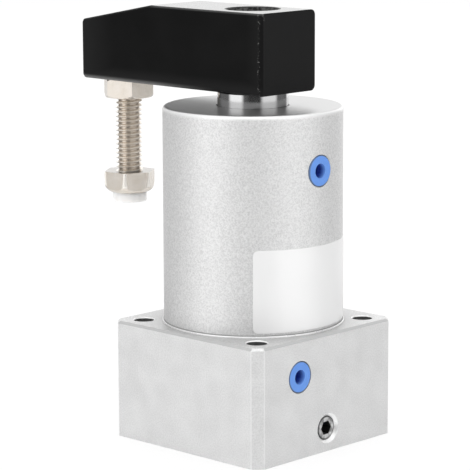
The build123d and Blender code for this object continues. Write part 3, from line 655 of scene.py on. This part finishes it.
def hexagon(name, turn, low, high, centre):
    """Upright hexagon prism, with its first corner turned by that angle."""
    bm = bmesh.new()
    angles = [math.radians(turn + 60 * k) for k in range(6)]
    lower, upper = ([vertex(bm, centre, CORNER, angle, z) for angle in angles] for z in (low, high))
    bm.faces.new(list(reversed(lower)))
    bm.faces.new(upper)
    for k in range(6):
        n = (k + 1) % 6
        bm.faces.new((lower[k], lower[n], upper[n], upper[k]))
    return mesh_object(name, bm)


def combine(obj, other, operation):
    cut = obj.modifiers.new("cut", "BOOLEAN")
    cut.operation = operation
    cut.solver = "EXACT"
    cut.object = other
    settle(obj, other)


def soften(obj, width):
    """Rounds the sharp edges, and keeps the flat faces flat."""
    edge = obj.modifiers.new("edge", "BEVEL")
    edge.width = width
    edge.segments = 2
    edge.limit_method = "ANGLE"
    edge.angle_limit = math.radians(FLAT_ANGLE)
    settle(obj)
    obj.data.shade_smooth()
    obj.data.set_sharp_from_angle(angle=math.radians(FLAT_ANGLE))
    flats = obj.modifiers.new("flats", "WEIGHTED_NORMAL")
    flats.keep_sharp = True
    settle(obj)


def threaded_rod(name, centre, low, high, radius, pitch, end_chamfer):
    """Right-hand threaded rod, cut flat at both ends and chamfered at the upper one."""
    root = radius - THREAD_DEPTH_SHARE * pitch
    # One turn's outline, as shares of the pitch and radii: root, flank, crest, flank
    outline = ((0.0, root), (0.2, root), (0.53, radius), (0.6, radius), (0.93, root))
    spare_turns = 3
    turns = int((high - low) / pitch) + spare_turns
    start = low - pitch
    bm = bmesh.new()
    columns = []
    for k in range(turns * THREAD_SEGMENTS + 1):
        column = []
        for share, reach in outline:
            z = start + pitch * (k / THREAD_SEGMENTS + share)
            reach = min(reach, radius - max(0.0, z - (high - end_chamfer)))
            column.append(vertex(bm, centre, reach, 2 * math.pi * k / THREAD_SEGMENTS, z))
        columns.append(column)
    for k in range(len(columns) - 1):
        here, following = columns[k], columns[k + 1]
        for j in range(len(outline) - 1):
            bm.faces.new((here[j], following[j], following[j + 1], here[j + 1]))
        if k + 1 + THREAD_SEGMENTS < len(columns):
            above_here, above_following = columns[k + THREAD_SEGMENTS], columns[k + 1 + THREAD_SEGMENTS]
            bm.faces.new((here[-1], following[-1], above_following[0], above_here[0]))
    for height, keep in ((low, 1), (high, -1)):
        everything = bm.verts[:] + bm.edges[:] + bm.faces[:]
        bmesh.ops.bisect_plane(
            bm, geom=everything, plane_co=(0, 0, height), plane_no=(0, 0, -keep), clear_outer=True,
        )
        open_edges = [edge for edge in bm.edges if edge.is_boundary]
        rim = [e for e in open_edges if all(abs(v.co.z - height) < SAME_PLACE for v in e.verts)]
        middle = bm.verts.new((centre[0], centre[1], height))
        for edge in rim:
            bm.faces.new((*edge.verts, middle))
    bmesh.ops.recalc_face_normals(bm, faces=bm.faces)
    obj = mesh_object(name, bm)
    obj.data.shade_smooth()
    obj.data.set_sharp_from_angle(angle=math.radians(THREAD_FLAT_ANGLE))
    return obj


def join(target, other):
    """Adds the other's mesh to the target."""
    bm = bmesh.new()
    bm.from_mesh(target.data)
    bm.from_mesh(other.data)
    bpy.data.objects.remove(other)
    bm.to_mesh(target.data)
    bm.free()


# ---------------------------------------------------------------- clamping bolt with its thread
HEAD_TURN = 35.0
HEAD_EDGE = 0.12 * MM
DOME_HEIGHT = 2.6 * MM
DOME_RADIUS = 3.9 * MM
DOME_STEPS = 14
THREAD_PITCH = 1.0 * MM
THREAD_START = head_high - 0.05 * MM
THREAD_END_CHAMFER = 0.6 * MM


def dome_profile():
    """Half outline of the head: an arc that starts upright at the corners and runs in to the lower face."""
    across, up = CORNER - DOME_RADIUS, DOME_HEIGHT
    radius = (across ** 2 + up ** 2) / (2 * across)
    sweep = math.asin(up / radius)
    dome_top = head_low + DOME_HEIGHT
    points = [(0.0, head_low)]
    for k in range(DOME_STEPS + 1):
        angle = sweep * (1 - k / DOME_STEPS)
        points.append((CORNER - radius * (1 - math.cos(angle)), dome_top - radius * math.sin(angle)))
    points += [(CORNER + MM, dome_top), (CORNER + MM, head_high + MM), (0.0, head_high + MM)]
    return points


bolt = hexagon("bolt_threaded", HEAD_TURN, head_low, head_high, bolt_axis)
combine(bolt, lathe("dome", dome_profile(), bolt_axis), "INTERSECT")
soften(bolt, HEAD_EDGE)
thread = threaded_rod(
    "thread", bolt_axis, THREAD_START, bolt_high.z, THREAD_RADIUS, THREAD_PITCH, THREAD_END_CHAMFER,
)
join(bolt, thread)
dress(bolt, NICKEL)
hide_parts("clamp_bolt")
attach(bolt, "rod_and_arm")

# ---------------------------------------------------------------- lock nut
NUT_TURN = -6.8
NUT_EDGE = 0.08 * MM
NUT_CHAMFER_HEIGHT = 0.7 * MM
NUT_HOLE_RADIUS = THREAD_RADIUS + 0.05 * MM
NUT_COUNTERSINK = 0.45 * MM

nut = hexagon("nut_hexagon", NUT_TURN, nut_low.z, nut_high.z, bolt_axis)
nut_profile = [
    (0.0, nut_low.z - MM),
    (FLATS / 2 - MM, nut_low.z - MM),
    (FLATS / 2, nut_low.z),
    (CORNER, nut_low.z + NUT_CHAMFER_HEIGHT),
    (CORNER + MM, nut_low.z + NUT_CHAMFER_HEIGHT),
    (CORNER + MM, nut_high.z - NUT_CHAMFER_HEIGHT),
    (CORNER, nut_high.z - NUT_CHAMFER_HEIGHT),
    (FLATS / 2, nut_high.z),
    (FLATS / 2 - MM, nut_high.z + MM),
    (0.0, nut_high.z + MM),
]
combine(nut, lathe("nut_chamfer", nut_profile, bolt_axis), "INTERSECT")
hole_profile = [
    (0.0, nut_low.z - MM),
    (NUT_HOLE_RADIUS + NUT_COUNTERSINK + MM, nut_low.z - MM),
    (NUT_HOLE_RADIUS, nut_low.z + NUT_COUNTERSINK),
    (NUT_HOLE_RADIUS, nut_high.z + MM),
    (0.0, nut_high.z + MM),
]
combine(nut, lathe("nut_hole", hole_profile, bolt_axis, HOLE_SEGMENTS), "DIFFERENCE")
soften(nut, NUT_EDGE)
dress(nut, NICKEL)
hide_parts("lock_nut")
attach(nut, "rod_and_arm")

# ---------------------------------------------------------------- camera
# Solved from the photograph's edges; the picture is taken as 470 x 470 pixels.
CAMERA_PLACE = Vector((-0.34955, -0.32863, 0.13027))
CAMERA_AZIMUTH, CAMERA_PITCH, CAMERA_ROLL = -46.317, 10.361, -0.185
FOCAL_PIXELS = 2338.1
PICTURE_PIXELS = 470
SENSOR = 36.0
CLIP_START = 0.01

camera_data = bpy.data.cameras.new("camera")
camera_data.sensor_width = SENSOR
camera_data.lens = FOCAL_PIXELS / PICTURE_PIXELS * SENSOR
camera_data.clip_start = CLIP_START
camera = bpy.data.objects.new("camera", camera_data)
bpy.context.scene.collection.objects.link(camera)
camera.matrix_world = (
    Matrix.Translation(CAMERA_PLACE)
    @ Matrix.Rotation(math.radians(CAMERA_AZIMUTH), 4, "Z")
    @ Matrix.Rotation(math.radians(90 - CAMERA_PITCH), 4, "X")
    @ Matrix.Rotation(math.radians(CAMERA_ROLL), 4, "Z")
)
bpy.context.scene.camera = camera

# ---------------------------------------------------------------- floor
FLOOR_SIZE = 20.0
FLOOR_COLOR = grey(0.9)
FLOOR_GLOW_SHARE = 0.8

bm = bmesh.new()
bmesh.ops.create_grid(bm, x_segments=1, y_segments=1, size=FLOOR_SIZE)
floor = mesh_object("floor", bm)
floor.visible_glossy = False
floor_material = bpy.data.materials.new("floor_white")
floor_material.use_nodes = True
floor_material.node_tree.nodes.clear()
paint = Nodes(floor_material.node_tree)
matt = paint.node("ShaderNodeBsdfDiffuse")
matt.inputs["Color"].default_value = (*FLOOR_COLOR, 1.0)
glow = paint.node("ShaderNodeEmission")
glow.inputs["Strength"].default_value = 1.0
blend = paint.node("ShaderNodeMixShader")
by_camera = paint.node("ShaderNodeLightPath").outputs["Is Camera Ray"]
paint.link(paint.times(by_camera, FLOOR_GLOW_SHARE), blend.inputs["Fac"])
paint.link(matt.outputs["BSDF"], blend.inputs[1])
paint.link(glow.outputs["Emission"], blend.inputs[2])
paint.link(blend.outputs["Shader"], paint.node("ShaderNodeOutputMaterial").inputs["Surface"])
dress(floor, floor_material)

# ---------------------------------------------------------------- studio light
# Level directions from the object toward the camera, and toward the picture's right
VIEW = Vector((-0.7286, -0.6850, 0.0))
ACROSS = Vector((0.6907, -0.7232, 0.0))

# Tall soft panels: bearing from the camera, half width and blur in degrees, and strength
SOFT_BOXES = (
    (-57, 22, 8, 1.3),
    (55, 26, 8, 0.98),
    (-28, 10, 8, 0.07),
    (-105, 22, 12, 0.12),
    (105, 22, 12, 0.13),
)
BEHIND = (172, 32, 10, 1.0)
# Round soft panels: elevation, half width and blur in degrees, and strength
OVERHEAD = ((68, 30, 10, 2.0), (100, 48, 14, 1.1))
BEHIND_STRENGTH = 1.6
ABOVE_STRENGTH = 0.3
BELOW_STRENGTH = 0.95
EVERYWHERE_STRENGTH = 0.045

# Lamps: name, bearing, elevation and power
LAMPS = (
    ("key", -50, 14, 3.4),
    ("fill", 50, 14, 3.4),
    ("rear_left", -135, 20, 3.2),
    ("rear_right", 135, 20, 3.2),
)
LAMP_DISTANCE = 1.0
LAMP_SIZE = 0.8
LAMP_AIM = Vector((0, 0, 0.045))


def bearing(degrees):
    """Level direction at that angle from the camera's, positive towards the picture's right."""
    return VIEW * math.cos(math.radians(degrees)) + ACROSS * math.sin(math.radians(degrees))


world = bpy.data.worlds.new("studio")
bpy.context.scene.world = world
world.use_nodes = True
world.node_tree.nodes.clear()
studio = Nodes(world.node_tree)

direction = studio.node("ShaderNodeTexCoord").outputs["Generated"]
height = studio.part(direction, "Z")
flat_part = studio.node("ShaderNodeVectorMath", operation="MULTIPLY")
flat_part.inputs[1].default_value = (1, 1, 0)
studio.link(direction, flat_part.inputs[0])
level = studio.node("ShaderNodeVectorMath", operation="NORMALIZE")
studio.link(flat_part.outputs["Vector"], level.inputs[0])


def panel(ways, toward, half_width, blur, strength):
    """A soft panel around one direction; the ways are the sky's directions, whole or made level."""
    closeness = studio.node("ShaderNodeVectorMath", operation="DOT_PRODUCT")
    studio.link(ways, closeness.inputs[0])
    closeness.inputs[1].default_value = toward
    outer = math.cos(math.radians(half_width + blur))
    inner = math.cos(math.radians(half_width - blur))
    return studio.rise(closeness.outputs["Value"], outer, inner, most=strength, smooth=True)


def soft_box(degrees, half_width, blur, strength):
    """A soft panel at that bearing, as tall as the sky."""
    return panel(level.outputs["Vector"], bearing(degrees), half_width, blur, strength)


def overhead(elevation, half_width, blur, strength):
    """A round soft panel at that elevation on the camera's side."""
    angle = math.radians(elevation)
    toward = VIEW * math.cos(angle) + Vector((0, 0, math.sin(angle)))
    return panel(direction, toward, half_width, blur, strength)


light = soft_box(*SOFT_BOXES[0])
for box in SOFT_BOXES[1:]:
    light = studio.add(light, soft_box(*box))
behind = soft_box(*BEHIND)
above_floor = studio.rise(height, -0.02, 0.07, most=BEHIND_STRENGTH, smooth=True)
light = studio.add(light, studio.times(behind, above_floor))
for spot in OVERHEAD:
    light = studio.largest(light, overhead(*spot))
light = studio.largest(light, studio.rise(height, 0.15, 0.5, most=ABOVE_STRENGTH, smooth=True))
depth = studio.times(height, -1.0)
light = studio.largest(light, studio.rise(depth, 0.22, 0.5, most=BELOW_STRENGTH, smooth=True))
light = studio.add(light, EVERYWHERE_STRENGTH)
shine = studio.node("ShaderNodeBackground")
studio.link(light, shine.inputs["Strength"])

# The white backdrop shows to the camera, and just under the horizon behind the object to mirrors and glass
backdrop = studio.node("ShaderNodeBackground")
backdrop.inputs["Color"].default_value = (*WHITE, 1.0)
backdrop.inputs["Strength"].default_value = 1.0
ray = studio.node("ShaderNodeLightPath")
mirrored = studio.largest(ray.outputs["Is Glossy Ray"], ray.outputs["Is Transmission Ray"])
under_horizon = studio.math(
    "SUBTRACT",
    studio.rise(height, -0.3, -0.12, smooth=True),
    studio.rise(height, -0.02, 0.07, smooth=True),
)
seen = studio.times(mirrored, studio.times(behind, under_horizon))
choose = studio.node("ShaderNodeMixShader")
studio.link(studio.largest(ray.outputs["Is Camera Ray"], seen), choose.inputs["Fac"])
studio.link(shine.outputs["Background"], choose.inputs[1])
studio.link(backdrop.outputs["Background"], choose.inputs[2])
studio.link(choose.outputs["Shader"], studio.node("ShaderNodeOutputWorld").inputs["Surface"])


def lamp(name, degrees, elevation, power):
    """A square area lamp that mirrors don't show."""
    data = bpy.data.lights.new(name, "AREA")
    data.shape = "SQUARE"
    data.size = LAMP_SIZE
    data.energy = power
    obj = bpy.data.objects.new(name, data)
    bpy.context.scene.collection.objects.link(obj)
    flat_way = bearing(degrees) * math.cos(math.radians(elevation))
    way = flat_way + Vector((0, 0, math.sin(math.radians(elevation))))
    obj.location = LAMP_AIM + way * LAMP_DISTANCE
    obj.rotation_mode = "QUATERNION"
    obj.rotation_quaternion = way.to_track_quat("Z", "Y")
    obj.visible_glossy = False


for settings in LAMPS:
    lamp(*settings)
